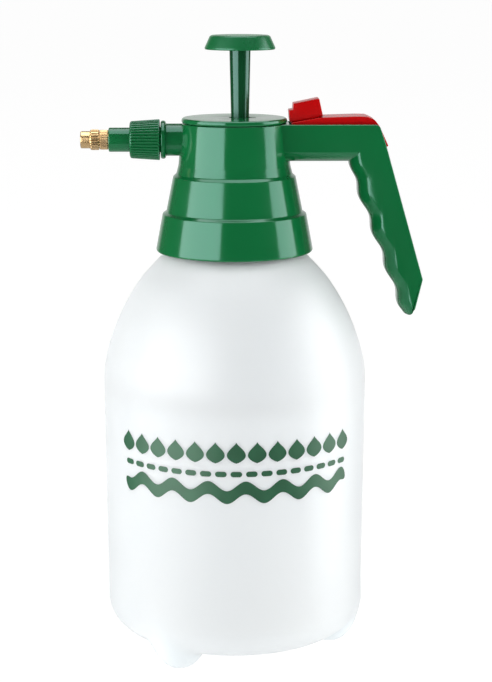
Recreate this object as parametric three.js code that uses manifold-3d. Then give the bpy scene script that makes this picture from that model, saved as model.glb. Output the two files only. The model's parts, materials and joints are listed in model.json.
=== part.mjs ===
// Hand-held compression sprayer: blow-moulded bottle, moulded head with pistol grip,
// air pump, thumb-operated spray valve and adjustable brass nozzle.
// Millimetres, +Z up. The bottle's axis is vertical, the nozzle points along -X and the grip is on +X.
// The group is shifted along X so that the origin is the bottom centre of the whole object.

import * as THREE from 'three';
import { mergeVertices } from 'three/addons/utils/BufferGeometryUtils.js';
import Module from 'manifold-3d';

const wasm = await Module();
wasm.setup();

// ---------------------------------------------------------------- driving dimensions

const gap = 0.3; // clearance between neighbouring pieces

const bottleRadius = 64;
const bottleWall = 1.8;
const shoulderHeight = 136; // where the side starts to curve in
const baseHeight = 9; // underside of the bottle above the ground
const neckRadius = 26.2;
const neckBore = 23.6;
const neckBase = 199.8;
const neckTop = 221;
const threadPitch = 6;
const threadRadius = 1.1;

const footCount = 3;
const footCircle = 46.5;
const firstFootAngle = -125; // degrees from +X, seen from above
const footPadRadius = 6.5;

const skirtBottom = 197;
const skirtRadius = 37.4;
const socketRadius = 28.8; // inside of the head's threaded collar
const webBottom = 223.9; // sealing face of the head
const webTop = 226.4;
const chamberRadius = 23;
const headTop = 258.3;
const headTopRadius = 25.1;

const capRadius = 25.3;
const capTop = 260.9;

const pumpX = 2.7; // pump axis, beside the bottle's axis
const barrelRadius = 14;
const barrelBore = 12.5;
const barrelBottom = 172;
const barrelTop = 243;
const rodRadius = 4.3;
const rodRadiusAtKnob = 4.95;
const pistonTop = 217;
const pistonHeight = 9;
const knobBottom = 293;
const knobTop = 299.7;
const knobRadius = 16.7;
const knobTopRadius = 13.95;

const armHalfWidth = 12.3;
const armBottom = 240.4;
const armStart = 20;
const gripReach = 90.3;
const gripTip = 165.9;
const gripEdgeRound = 5; // how far the inner edge is rounded off
const waveLength = 17.5;
const waveDepth = 0.95;
const waveCrest = 223;

const channelHalfWidth = 9.5;
const channelFloor = 244.4;
const leverHalfWidth = 9;
const lockFootTop = 2.4; // below the lever's upper face
const lockFootBottom = 3.3;
const pivotX = 30.5;
const pivotZ = 256.2;
const pinRadius = 1.2;

const valveX = 45;
const valveRadius = 5.2;
const valveBottom = 243;
const valveTop = 254.6;
const valveBore = 3.4;
const stemRadius = 1.4;
const stemTop = 259.2;
const barbOffset = 2.6;
const inletHeight = 246.8;
const outletHeight = 252.7;

const hoseRadius = 2.2;
const hoseBore = 1.45;
const barbRadius = 1.1;

const dipX = 5;
const dipY = 18.6;
const dipRadius = 3.1;
const dipBore = 2.25;
const dipBottom = 16.4;
const strainerRadius = 4;
const strainerBottom = 14.7;
const strainerTop = 24;

const nozzleHeight = 250.4;
const noseReach = 73.4;

// ---------------------------------------------------------------- colours and finishes

const finishes = {
  natural: { color: 0xf2f4f4, roughness: 0.35, metalness: 0 },
  green: { color: 0x12693a, roughness: 0.22, metalness: 0 },
  red: { color: 0xb80f12, roughness: 0.3, metalness: 0 },
  brass: { color: 0xc9a35c, roughness: 0.3, metalness: 1 },
  rubber: { color: 0x1b1b1c, roughness: 0.8, metalness: 0 },
  steel: { color: 0xb9bcbf, roughness: 0.3, metalness: 1 },
  white: { color: 0xe4e6e4, roughness: 0.4, metalness: 0 },
  tube: { color: 0xd8dcdc, roughness: 0.3, metalness: 0 },
};

// ---------------------------------------------------------------- shape helpers

function signedVolume(position, index) {
  const a = new THREE.Vector3();
  const b = new THREE.Vector3();
  const c = new THREE.Vector3();
  let sum = 0;
  for (let i = 0; i < index.length; i += 3) {
    a.fromBufferAttribute(position, index[i]);
    b.fromBufferAttribute(position, index[i + 1]);
    c.fromBufferAttribute(position, index[i + 2]);
    sum += a.dot(b.cross(c)) / 6;
  }
  return sum;
}

// A closed geometry as a solid that can be joined and cut.
function solid(geometry) {
  geometry.deleteAttribute('normal');
  geometry.deleteAttribute('uv');
  const merged = mergeVertices(geometry, 1e-4);
  const source = merged.index.array;
  const triangles = [];
  for (let i = 0; i < source.length; i += 3) {
    const [a, b, c] = [source[i], source[i + 1], source[i + 2]];
    if (a !== b && b !== c && c !== a) {
      triangles.push(a, b, c);
    }
  }
  if (signedVolume(merged.attributes.position, triangles) < 0) {
    triangles.reverse();
  }
  const mesh = new wasm.Mesh({
    numProp: 3,
    vertProperties: new Float32Array(merged.attributes.position.array),
    triVerts: new Uint32Array(triangles),
  });
  return new wasm.Manifold(mesh);
}

function joined(...solids) {
  return solids.reduce((whole, piece) => whole.add(piece));
}

function cut(whole, ...tools) {
  return tools.reduce((rest, tool) => rest.subtract(tool), whole);
}

// Solid of revolution about +Z through (x, y). The profile holds [radius, height] pairs.
function turned(profile, segments, x = 0, y = 0) {
  const points = profile.map(([r, z]) => new THREE.Vector2(r, z));
  if (profile[0][0] > 0) {
    points.push(points[0].clone());
  }
  const geometry = new THREE.LatheGeometry(points, segments);
  geometry.rotateX(Math.PI / 2);
  geometry.translate(x, y, 0);
  return solid(geometry);
}

function cylinder(radius, low, high, segments, x = 0, y = 0) {
  return turned([[0, low], [radius, low], [radius, high], [0, high]], segments, x, y);
}

function ring(inner, outer, low, high, segments, x = 0, y = 0) {
  return turned([[inner, low], [outer, low], [outer, high], [inner, high]], segments, x, y);
}

// Solid of revolution about a horizontal axis that points along -X at height z.
// The profile holds [radius, distance] pairs, with distances measured towards -X.
function turnedForward(profile, segments, z = nozzleHeight, y = 0) {
  const points = profile.map(([r, d]) => new THREE.Vector2(r, d));
  if (profile[0][0] > 0) {
    points.push(points[0].clone());
  }
  const geometry = new THREE.LatheGeometry(points, segments);
  geometry.rotateX(Math.PI / 2);
  geometry.rotateY(-Math.PI / 2);
  geometry.translate(0, y, z);
  return solid(geometry);
}

function block(x0, x1, y0, y1, z0, z1) {
  const geometry = new THREE.BoxGeometry(x1 - x0, y1 - y0, z1 - z0);
  geometry.translate((x0 + x1) / 2, (y0 + y1) / 2, (z0 + z1) / 2);
  return solid(geometry);
}

// A side outline of [x, z] points, given thickness across Y.
function plate(outline, halfWidth) {
  const shape = new THREE.Shape(outline.map(([x, z]) => new THREE.Vector2(x, z)));
  const geometry = new THREE.ExtrudeGeometry(shape, { depth: 2 * halfWidth, bevelEnabled: false });
  geometry.rotateX(Math.PI / 2);
  geometry.translate(0, halfWidth, 0);
  return solid(geometry);
}

function circleShape(radius, sides) {
  const points = [];
  for (let i = 0; i < sides; i += 1) {
    const angle = (2 * Math.PI * i) / sides;
    points.push(new THREE.Vector2(radius * Math.cos(angle), radius * Math.sin(angle)));
  }
  return points;
}

// A round bar along a curve, bored through when bore is given.
function sweep(curve, radius, bore, sides, steps) {
  const shape = new THREE.Shape(circleShape(radius, sides));
  if (bore > 0) {
    shape.holes.push(new THREE.Path(circleShape(bore, sides).reverse()));
  }
  return solid(new THREE.ExtrudeGeometry(shape, { steps, extrudePath: curve, bevelEnabled: false }));
}

// A helix about the +Z axis through (x, y).
class Helix extends THREE.Curve {
  constructor(radius, start, rise, turns, x = 0, y = 0) {
    super();
    Object.assign(this, { radius, start, rise, turns, x, y });
  }

  getPoint(t, target = new THREE.Vector3()) {
    const angle = 2 * Math.PI * this.turns * t;
    return target.set(
      this.x + this.radius * Math.cos(angle),
      this.y + this.radius * Math.sin(angle),
      this.start + this.rise * t,
    );
  }
}

function smooth(points, divisions) {
  const curve = new THREE.SplineCurve(points.map(([r, z]) => new THREE.Vector2(r, z)));
  return curve.getPoints(divisions).map((p) => [p.x, p.y]);
}

// The same profile moved inwards by a wall thickness.
function inset(profile, wall) {
  return profile.map(([r, z], i) => {
    const [r0, z0] = profile[Math.max(i - 1, 0)];
    const [r1, z1] = profile[Math.min(i + 1, profile.length - 1)];
    const length = Math.hypot(r1 - r0, z1 - z0);
    return [Math.max(r - (wall * (z1 - z0)) / length, 0), z + (wall * (r1 - r0)) / length];
  });
}

// ---------------------------------------------------------------- bottle

function bottle() {
  const base = [[0, baseHeight + 3], [24, baseHeight + 2.4], [40, baseHeight + 0.4]];
  const heel = smooth([[47, 9], [53, 10.2], [58, 13.6], [61.6, 19], [63, 26]], 4);
  const shoulder = smooth(
    [[bottleRadius, shoulderHeight], [62.2, 147.5], [57.4, 161.8], [50.6, 175.8], [42.8, 187], [35, 194.8], [29.5, 198.4]],
    6,
  );
  const outer = [...base, ...heel, ...shoulder];
  const inner = inset(outer, bottleWall);
  const footOuter = [[0, 0], [footPadRadius, 0], [11, 1.4], [14.8, 5.6], [16.8, 13], [16.2, 21], [0, 21]];
  const footInner = footOuter.map(([r, z]) => [Math.max(r - bottleWall, 0), z + bottleWall]);

  let shell = turned([...outer, [neckRadius, neckBase], [neckRadius, neckTop], [0, neckTop]], 32);
  let hollow = turned([...inner, [neckBore, neckBase - 1], [neckBore, neckTop + 1], [0, neckTop + 1]], 32);
  for (let i = 0; i < footCount; i += 1) {
    const angle = THREE.MathUtils.degToRad(firstFootAngle + (i * 360) / footCount);
    const x = footCircle * Math.cos(angle);
    const y = footCircle * Math.sin(angle);
    shell = shell.add(turned(footOuter, 12, x, y));
    hollow = hollow.add(turned(footInner, 12, x, y));
  }
  const turns = 1.5;
  const thread = new Helix(neckRadius + 0.05, neckBase + 7, threadPitch * turns, turns);
  return shell.subtract(hollow).add(sweep(thread, threadRadius, 0, 4, 22));
}

// ---------------------------------------------------------------- head: skirt, nozzle neck, arm and grip

// Inner line of the grip, with a wave for each finger.
function gripInner(z) {
  const lean = 0.376;
  const wave = waveDepth * Math.cos((2 * Math.PI * (z - waveCrest)) / waveLength);
  const fade = Math.min(1, Math.max(0, (armBottom - z) / 8));
  return 54.5 + lean * (armBottom - z) - fade * (0.4 + wave);
}

// Side outline of the arm and grip; inward is how far the inner edge is moved back.
function armOutline(inward) {
  const outline = [[armStart, headTop], [66.2, headTop], [68.2, 257.5], [69.6, 255], [71.3, 248.4]];
  outline.push([gripReach, 184.4], [gripReach, 182.6], [87.4, 171.2], [86.2, 168]);
  outline.push([84.6 + inward * 0.25, gripTip + inward * 0.5]);
  for (let z = 168; z <= armBottom - 2; z += waveLength / 4) {
    outline.push([gripInner(z) + inward, z + inward * 0.35]);
  }
  outline.push([54.5 + inward, armBottom + inward], [armStart, armBottom + inward]);
  return outline;
}

function armSolid() {
  const layers = [[0.5, 0.04], [0.8, 0.3], [1, 0.9]];
  const slabs = layers.map(([width, inward]) => plate(armOutline(inward * gripEdgeRound), width * armHalfWidth));
  return joined(...slabs);
}

// Space inside the arm for the lever and the valve, open at the top and at the back corner.
function armHollow() {
  const lever = [[26, channelFloor], [26, 270], [95, 270], [95, 240.5], [66, 240.5], [64, channelFloor]];
  const core = [[60, 246], [61.8, 235], [80.6, 186], [86.6, 186], [70.6, 240]];
  return joined(
    plate(lever, channelHalfWidth),
    plate(core, channelHalfWidth - 1.5),
    block(19, 27, -8.5, 8.5, channelFloor, 254.4),
    cylinder(valveRadius + 0.4, valveBottom - gap, channelFloor + 1, 24, valveX),
  );
}

function headShell() {
  const skirt = turned(
    [
      [36.3, skirtBottom], [skirtRadius, 198.6], [34.2, 214.7], [32.5, 216.4], [29.1, 232.9], [27.2, 234.4],
      [26.1, 242], [headTopRadius, headTop], [chamberRadius, headTop], [chamberRadius, 240], [24, 234], [25.4, webTop],
      [0, webTop], [0, webBottom], [socketRadius, webBottom], [socketRadius, 203], [30.6, 203], [31.2, 212.4],
      [32.5, 212.4], [35.3, skirtBottom],
    ],
    36,
  );
  const boss = cylinder(15.8, webTop - 0.5, 238.6, 24, pumpX);
  const neck = turnedForward(
    [[0, 23.3], [7.7, 23.3], [7.7, 32.8], [8.6, 32.9], [9.1, 33.4], [9.1, 34.5], [8.6, 35.1], [6.4, 35.1], [6.4, 45], [0, 45]],
    20,
  );
  const innerBarb = turnedForward([[0, 19], [barbRadius, 19], [barbRadius, 24], [0, 24]], 12);
  const nipple = cylinder(barbRadius, webTop - 1, 235, 12, dipX, dipY);
  const dipStub = cylinder(1.9, 214, webBottom + 1, 12, dipX, dipY);
  const dipBoss = cylinder(4.2, webTop - 1, 229, 16, dipX, dipY);
  const chamber = cylinder(chamberRadius, webTop, headTop + 1, 36);
  const arm = armSolid().subtract(chamber);
  const turns = 1.25;
  const collarThread = new Helix(socketRadius, 205, threadPitch * turns, turns);

  const whole = joined(
    skirt, arm, boss, neck, innerBarb, nipple, dipStub, dipBoss,
    sweep(collarThread, 0.9, 0, 4, 18),
  );
  return cut(
    whole,
    armHollow(),
    cylinder(barrelRadius + 0.4, webBottom - 1, 239, 24, pumpX),
    turnedForward([[0, 16], [0.6, 16], [0.6, 24.4], [2.4, 25.4], [2.4, 46], [0, 46]], 16),
    cylinder(0.6, 213, 236, 8, dipX, dipY),
    pinHole(1.5, -11.7, 13),
  );
}

// ---------------------------------------------------------------- air pump

function pumpCap() {
  const disc = turned(
    [[0, 258.6], [24.6, 258.6], [25.1, 258.9], [capRadius, 259.5], [24.9, 260.6], [24.4, capTop], [0, capTop]],
    36,
  );
  const spigot = ring(21, chamberRadius - 0.5, 254.8, 259, 36);
  const sleeve = cylinder(9, 245.1, 259, 20, pumpX);
  const slot = block(pumpX, pumpX + 7.4, -1.4, 1.4, 258, 262);
  return cut(
    joined(disc, spigot, sleeve),
    cylinder(7.2, 244, 257.4, 20, pumpX),
    cylinder(5.3, 256, 262, 20, pumpX),
    slot,
  );
}

function pumpBarrel() {
  const tube = turned(
    [
      [0, barrelBottom], [barrelRadius - 1, barrelBottom], [barrelRadius, barrelBottom + 1],
      [barrelRadius, 240.6], [15.6, 240.6], [15.6, barrelTop], [barrelBore, barrelTop], [barrelBore, barrelBottom + 2],
      [0, barrelBottom + 2],
    ],
    24,
    pumpX,
  );
  const airHoles = [];
  for (let i = 0; i < 4; i += 1) {
    const angle = (Math.PI / 2) * (i + 0.5);
    airHoles.push(cylinder(0.9, 171, 175, 8, pumpX + 4.4 * Math.cos(angle), 4.4 * Math.sin(angle)));
  }
  return cut(tube, cylinder(2.1, 171, 175, 12, pumpX), ...airHoles);
}

function rodGuide() {
  return turned(
    [[5, 236], [12.1, 236], [12.1, barrelTop + gap], [15.4, barrelTop + gap], [15.4, 244.8], [5, 244.8]],
    20,
    pumpX,
  );
}

function checkValve() {
  return turned(
    [[0, 170.4], [5, 170.6], [6.6, 171.2], [6.6, 171.7], [1.6, 171.7], [1.6, 174.4], [2.5, 174.4], [1.4, 176], [0, 176]],
    20,
    pumpX,
  );
}

function pumpHandle() {
  return turned(
    [
      [0, 210.4], [3, 210.4], [3, pistonTop + gap], [rodRadius, pistonTop + gap], [rodRadius, 261],
      [rodRadiusAtKnob, 290], [6, knobBottom + 1], [11, 294.6], [14.4, 294], [15.6, knobBottom],
      [knobRadius, knobBottom + 0.2], [knobRadius, knobBottom + 0.9], [knobTopRadius + 0.6, knobTop - 0.5],
      [knobTopRadius, knobTop], [0, knobTop],
    ],
    20,
    pumpX,
  );
}

function piston() {
  const low = pistonTop - pistonHeight;
  return turned(
    [
      [0, low], [11.6, low], [11.6, low + 3], [9.4, low + 3], [9.4, low + 6.4], [11.6, low + 6.4],
      [11.6, pistonTop], [3.3, pistonTop], [3.3, low + 2], [0, low + 2],
    ],
    20,
    pumpX,
  );
}

function pistonRing() {
  const low = pistonTop - pistonHeight + 3 + gap;
  return turned([[9.7, low], [12, low], [12.1, low + 0.6], [11.7, low + 2.8], [9.7, low + 2.8]], 20, pumpX);
}

// ---------------------------------------------------------------- thumb lever and lock

const slopeStart = [26.9, 259];
const slopeEnd = [41, 261.5];
const slope = (slopeEnd[1] - slopeStart[1]) / (slopeEnd[0] - slopeStart[0]);

function slopeHeight(x) {
  return slopeStart[1] + slope * (x - slopeStart[0]);
}

function pinHole(radius, y0, y1) {
  const geometry = new THREE.CylinderGeometry(radius, radius, y1 - y0, 16);
  geometry.translate(pivotX, (y0 + y1) / 2, pivotZ);
  return solid(geometry);
}

function triggerLever() {
  const outside = plate(
    [
      slopeStart, slopeEnd, [58, 262], [62.5, 261.6], [65.6, 260.2], [68.3, 257.6], [73, 247.9], [71.4, 247.5],
      [66.6, 255.2], [62, 255], [34, 254.6], [33.2, 253.6], [30.5, 252.8], [27.8, 253.8], [26.9, 255.4],
    ],
    leverHalfWidth,
  );
  const inside = plate(
    [[28.3, 250], [28.3, 257.2], [41, 259.5], [58, 260], [61.8, 259.6], [64, 258.5], [65.4, 256.8], [65.4, 250]],
    leverHalfWidth - 3,
  );
  return cut(
    outside,
    inside,
    block(26, 29, 3 - leverHalfWidth, leverHalfWidth - 3, 250, 256),
    block(33.6, 41.3, -2.6, 2.6, 256, 264),
    pinHole(pinRadius + 0.35, -10, 10),
  );
}

function lockSlider() {
  const low = 0.35;
  const grip = plate(
    [
      [26.2, slopeHeight(26.2) + low], [25.7, 264.7], [27.7, 264.9], [27.9, 267.8], [40.2, 270.4],
      [42, slopeHeight(42) + low],
    ],
    6,
  );
  const stem = plate(
    [[34.2, slopeHeight(34.2) - 3], [37.2, slopeHeight(37.2) - 3], [37.2, 263], [34.2, 263]],
    2.2,
  );
  const foot = plate(
    [
      [33, slopeHeight(33) - lockFootBottom], [33, slopeHeight(33) - lockFootTop],
      [38.4, slopeHeight(38.4) - lockFootTop], [38.4, slopeHeight(38.4) - lockFootBottom],
    ],
    3.6,
  );
  return joined(grip, stem, foot);
}

function triggerPin() {
  return pinHole(pinRadius, -11.3, 12.2);
}

// ---------------------------------------------------------------- spray valve and its hoses

function valveBarb(height, y) {
  const length = [-valveX + 3.5, -36.2];
  return turnedForward([[0, length[0]], [barbRadius, length[0]], [barbRadius, length[1]], [0, length[1]]], 12, height, y);
}

function valveBarbBore(height, y) {
  return turnedForward([[0, 2.4 - valveX], [0.6, 2.4 - valveX], [0.6, -36], [0, -36]], 8, height, y);
}

function valveBody() {
  const seat = 251;
  const body = turned(
    [
      [0, valveBottom], [valveRadius, valveBottom], [valveRadius, valveTop], [valveBore, valveTop],
      [valveBore, seat + 0.8], [2, seat + 0.8], [2, seat], [valveBore, seat], [valveBore, 244.6], [0, 244.6],
    ],
    18,
    valveX,
  );
  const barbs = joined(valveBarb(inletHeight, barbOffset), valveBarb(outletHeight, -barbOffset));
  const chambers = cylinder(valveBore - 0.05, 244.6, seat, 18, valveX)
    .add(cylinder(valveBore - 0.05, seat + 0.8, valveTop + 1, 18, valveX));
  return cut(
    body.add(barbs.subtract(chambers)),
    valveBarbBore(inletHeight, barbOffset),
    valveBarbBore(outletHeight, -barbOffset),
  );
}

function valveStem() {
  return turned(
    [[0, 248.6], [2.8, 248.6], [2.8, 249.6], [stemRadius, 249.6], [stemRadius, stemTop - 0.4], [1, stemTop], [0, stemTop]],
    12,
    valveX,
  );
}

function valveSpring() {
  const low = 245.2;
  const high = 248;
  return sweep(new Helix(2.3, low, high - low, 3.5, valveX), 0.28, 0, 4, 28);
}

function inletHose() {
  const route = [
    [dipX, dipY, 229.6], [dipX, dipY, 234], [dipX, dipY, 239], [7.4, 17, 245.8], [13, 12.4, 247.8],
    [20, 6.2, 247.2], [27, 3, inletHeight], [34, barbOffset, inletHeight], [39.3, barbOffset, inletHeight],
  ];
  const curve = new THREE.CatmullRomCurve3(route.map((p) => new THREE.Vector3(...p)));
  return sweep(curve, hoseRadius, hoseBore, 8, 15);
}

function outletHose() {
  const route = [
    [39.3, -barbOffset, outletHeight], [34.5, -barbOffset, outletHeight], [28, -2.8, 252.3], [20, -5.6, 251.6],
    [12, -11.4, 251], [2.5, -14, nozzleHeight], [-7, -11.6, nozzleHeight], [-12.6, -6, nozzleHeight],
    [-15.6, -1.6, nozzleHeight], [-18.6, 0, nozzleHeight], [-22, 0, nozzleHeight],
  ];
  const curve = new THREE.CatmullRomCurve3(route.map((p) => new THREE.Vector3(...p)));
  return sweep(curve, hoseRadius, hoseBore, 8, 18);
}

// ---------------------------------------------------------------- nozzle

function nozzleNut() {
  return turnedForward(
    [
      [7, 35.6], [9.5, 35.6], [9.7, 35.9], [9.2, 48.9], [8.4, 49.9], [6.2, 49.9], [6.2, 48.4], [7, 48.4],
    ],
    28,
  );
}

function nozzleSleeve() {
  return turnedForward(
    [[3.6, 46.4], [6.7, 46.4], [6.7, 48], [5.8, 48], [5.8, 59.5], [5.5, 60], [3.6, 60]],
    20,
  );
}

function brassCollar() {
  return turnedForward(
    [
      [1.4, 48], [3.3, 48], [3.3, 60.3], [4.5, 60.3], [4.7, 60.6], [4.7, 63.9], [4.5, 64.2], [2.2, 64.2],
      [2.2, 69.4], [1.4, 69.4],
    ],
    16,
  );
}

function brassTip() {
  return turnedForward(
    [
      [3, 64.5], [4.6, 64.5], [4.9, 64.8], [4.9, 68.3], [4.6, 68.7], [4.1, 68.7], [4.1, 73.1], [3.8, noseReach],
      [2.4, noseReach], [2.1, 72.6], [0.5, 72.6], [0.5, 71.6], [3, 71.4],
    ],
    18,
  );
}

// ---------------------------------------------------------------- assembly

const sprayer = new THREE.Group();
sprayer.name = 'pump_sprayer';
sprayer.position.x = (noseReach - gripReach) / 2;

function add(name, finish, shape) {
  const { vertProperties, triVerts } = shape.getMesh();
  const geometry = new THREE.BufferGeometry();
  geometry.setAttribute('position', new THREE.BufferAttribute(new Float32Array(vertProperties), 3));
  geometry.setIndex(new THREE.BufferAttribute(new Uint32Array(triVerts), 1));
  geometry.computeVertexNormals();
  const mesh = new THREE.Mesh(geometry, new THREE.MeshStandardMaterial(finishes[finish]));
  mesh.name = name;
  sprayer.add(mesh);
}

add('bottle', 'natural', bottle());
add('bottle_seal', 'rubber', ring(22.8, neckRadius, neckTop + gap, webBottom - gap, 28));

add('head_shell', 'green', headShell());
add('pump_cap', 'green', pumpCap());
add('pump_barrel', 'white', pumpBarrel());
add('barrel_oring', 'rubber', ring(14.3, 15.5, 238.9, 240.3, 24, pumpX));
add('rod_guide', 'white', rodGuide());
add('check_valve', 'rubber', checkValve());
add('pump_handle', 'green', pumpHandle());
add('piston', 'white', piston());
add('piston_ring', 'rubber', pistonRing());

add('dip_tube', 'tube', ring(dipBore, dipRadius, dipBottom, webBottom - gap, 16, dipX, dipY));
add('dip_strainer', 'white', turned(
  [
    [0, strainerBottom], [strainerRadius - 0.2, strainerBottom], [strainerRadius, strainerBottom + 0.3],
    [strainerRadius, strainerTop], [dipRadius + 0.35, strainerTop], [dipRadius + 0.35, 16], [0, 16],
  ],
  16,
  dipX,
  dipY,
));
add('inlet_hose', 'tube', inletHose());
add('outlet_hose', 'tube', outletHose());

add('trigger_lever', 'red', triggerLever());
add('lock_slider', 'red', lockSlider());
add('trigger_pin', 'steel', triggerPin());

add('valve_body', 'white', valveBody());
add('valve_gland', 'white', ring(stemRadius + 0.35, valveRadius, valveTop + gap, 256.3, 16, valveX));
add('valve_oring', 'rubber', ring(stemRadius + 0.25, 3.1, 253.6, 254.3, 14, valveX));
add('valve_stem', 'white', valveStem());
add('stem_seal', 'rubber', ring(stemRadius + 0.25, 3, 249.9, 250.7, 14, valveX));
add('valve_spring', 'steel', valveSpring());

add('nozzle_nut', 'green', nozzleNut());
add('nozzle_sleeve', 'green', nozzleSleeve());
add('nozzle_washer', 'rubber', turnedForward([[2.6, 45.3], [6.3, 45.3], [6.3, 46.1], [2.6, 46.1]], 16));
add('brass_collar', 'brass', brassCollar());
add('swirl_core', 'brass', turnedForward([[0, 69.7], [2.4, 69.7], [2.4, 70.4], [1.6, 71.1], [0, 71.1]], 16));
add('brass_tip', 'brass', brassTip());
add('tip_oring', 'rubber', turnedForward([[2.35, 66.4], [2.85, 66.4], [2.85, 67.4], [2.35, 67.4]], 16));

export default sprayer;
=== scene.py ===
"""Looks of a hand-held compression sprayer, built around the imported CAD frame.

Lengths are in millimetres in the bottle's own coordinates (its axis is x = 0, the ground is z = 0)
and become metres in the frame when a mesh is made.
"""

import json
import math

import bmesh
import bpy
import numpy as np
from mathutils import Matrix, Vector


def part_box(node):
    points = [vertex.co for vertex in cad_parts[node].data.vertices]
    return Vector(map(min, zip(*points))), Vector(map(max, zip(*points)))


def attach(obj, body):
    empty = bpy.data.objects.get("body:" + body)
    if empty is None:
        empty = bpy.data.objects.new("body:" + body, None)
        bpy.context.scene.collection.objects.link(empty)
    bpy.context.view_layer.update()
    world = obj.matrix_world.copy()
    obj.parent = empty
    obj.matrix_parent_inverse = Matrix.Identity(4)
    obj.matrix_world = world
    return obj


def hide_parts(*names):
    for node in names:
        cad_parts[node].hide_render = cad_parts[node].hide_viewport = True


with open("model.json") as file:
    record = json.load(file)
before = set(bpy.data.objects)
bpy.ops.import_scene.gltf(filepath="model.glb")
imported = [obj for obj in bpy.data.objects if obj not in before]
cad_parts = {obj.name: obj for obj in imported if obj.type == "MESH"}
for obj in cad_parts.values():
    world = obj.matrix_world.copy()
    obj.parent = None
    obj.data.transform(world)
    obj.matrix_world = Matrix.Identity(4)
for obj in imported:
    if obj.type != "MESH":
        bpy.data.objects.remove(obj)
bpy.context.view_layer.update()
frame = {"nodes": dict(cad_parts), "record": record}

MM = 0.001
SHARP = 32


def centre(node, axis):
    low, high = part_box(node)
    return (low[axis] + high[axis]) / 2 / MM


BOTTLE_AXIS = centre("bottle_seal", 0)
PUMP_X = centre("pump_barrel", 0) - BOTTLE_AXIS
NOZZLE_Z = centre("nozzle_nut", 2)
DIP_X = centre("dip_tube", 0) - BOTTLE_AXIS
DIP_Y = centre("dip_tube", 1)
PUMP = (PUMP_X, 0)
DIP = (DIP_X, DIP_Y)
PIN_X = centre("trigger_pin", 0) - BOTTLE_AXIS
PIN_Z = centre("trigger_pin", 2)


# ---------------------------------------------------------------- mesh helpers


def smooth(mesh, sharp=SHARP):
    """Smooth shading with creases where faces meet at more than sharp degrees."""
    mesh.polygons.foreach_set("use_smooth", [True] * len(mesh.polygons))
    mesh.set_sharp_from_angle(angle=math.radians(sharp))


def link(name, data):
    """A new object in the scene."""
    made = bpy.data.objects.new(name, data)
    bpy.context.collection.objects.link(made)
    return made


def to_object(name, mesh_data, sharp=SHARP):
    """A bmesh in millimetres becomes a smooth-shaded object in the frame."""
    bmesh.ops.remove_doubles(mesh_data, verts=mesh_data.verts, dist=1e-5)
    bmesh.ops.recalc_face_normals(mesh_data, faces=mesh_data.faces)
    for vertex in mesh_data.verts:
        vertex.co.x += BOTTLE_AXIS
        vertex.co *= MM
    mesh = bpy.data.meshes.new(name)
    mesh_data.to_mesh(mesh)
    mesh_data.free()
    smooth(mesh, sharp)
    return link(name, mesh)


def from_lists(name, verts, faces, sharp=SHARP):
    mesh_data = bmesh.new()
    made = [mesh_data.verts.new(v) for v in verts]
    for face in faces:
        corners = list(dict.fromkeys(face))
        if len(corners) > 2:
            mesh_data.faces.new([made[i] for i in corners])
    return to_object(name, mesh_data, sharp)


def tube_faces(rows, size, closed=False):
    """Quads between rows of size points; a closed tube joins its last row to its first, others get ends."""
    faces = []
    for j in range(rows if closed else rows - 1):
        a, b = j * size, (j + 1) % rows * size
        for i in range(size):
            k = (i + 1) % size
            faces.append((a + i, a + k, b + k, b + i))
    if not closed:
        faces.append(tuple(range(size)))
        faces.append(tuple(range((rows - 1) * size, rows * size)))
    return faces


def arc_corner(before, corner, after, radius, steps):
    """Points of a fillet at a corner, or the corner itself where no fillet fits."""
    p, q, s = (Vector(v[:2]) for v in (before, corner, after))
    u, w = (p - q), (s - q)
    if u.length < 1e-9 or w.length < 1e-9:
        return [tuple(q)] * (steps + 1)
    room = 0.48 * min(u.length, w.length)
    u.normalize()
    w.normalize()
    opening = math.acos(max(-1.0, min(1.0, u.dot(w))))
    if not 0.02 < opening < math.pi - 0.02:
        return [tuple(q)] * (steps + 1)
    reach = min(radius / math.tan(opening / 2), room)
    radius = reach * math.tan(opening / 2)
    middle = q + (u + w).normalized() * (radius / math.sin(opening / 2))
    start = q + u * reach - middle
    end = q + w * reach - middle
    first = math.atan2(start.y, start.x)
    turn = (math.atan2(end.y, end.x) - first + math.pi) % (2 * math.pi) - math.pi
    angles = [first + turn * i / steps for i in range(steps + 1)]
    return [(middle.x + radius * math.cos(a), middle.y + radius * math.sin(a)) for a in angles]


def rounded(points, closed=False, steps=5):
    """An outline with a fillet at each corner that states a radius as its third number."""
    out = []
    count = len(points)
    for i, point in enumerate(points):
        ends = not closed and i in (0, count - 1)
        if len(point) < 3 or ends:
            out.append(tuple(point[:2]))
        else:
            out += arc_corner(points[i - 1], point, points[(i + 1) % count], point[2], steps)
    return out


def lathe(name, profile, segments=96, at=(0, 0), forward=False, wave=None, sharp=SHARP):
    """Solid of revolution. forward turns it about the nozzle's axis, with distances along -X."""
    verts, rings = [], []
    for r, h in profile:
        count = 1 if r < 1e-6 else segments
        rings.append((len(verts), count))
        for i in range(count):
            angle = 2 * math.pi * i / segments
            radius = wave(angle, r, h) if wave else r
            across, up = radius * math.cos(angle), radius * math.sin(angle)
            verts.append((-h, across, NOZZLE_Z + up) if forward else (at[0] + across, at[1] + up, h))
    closed = profile[0][0] > 1e-6
    faces = []
    for j in range(len(rings) - (0 if closed else 1)):
        (a, na), (b, nb) = rings[j], rings[(j + 1) % len(rings)]
        for i in range(segments):
            k = (i + 1) % segments
            faces.append((a + i % na, a + k % na, b + k % nb, b + i % nb))
    return from_lists(name, verts, faces, sharp)


def cylinder(name, radius, low, high, segments=96, at=(0, 0)):
    return lathe(name, [(0, low), (radius, low), (radius, high), (0, high)], segments, at)


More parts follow.
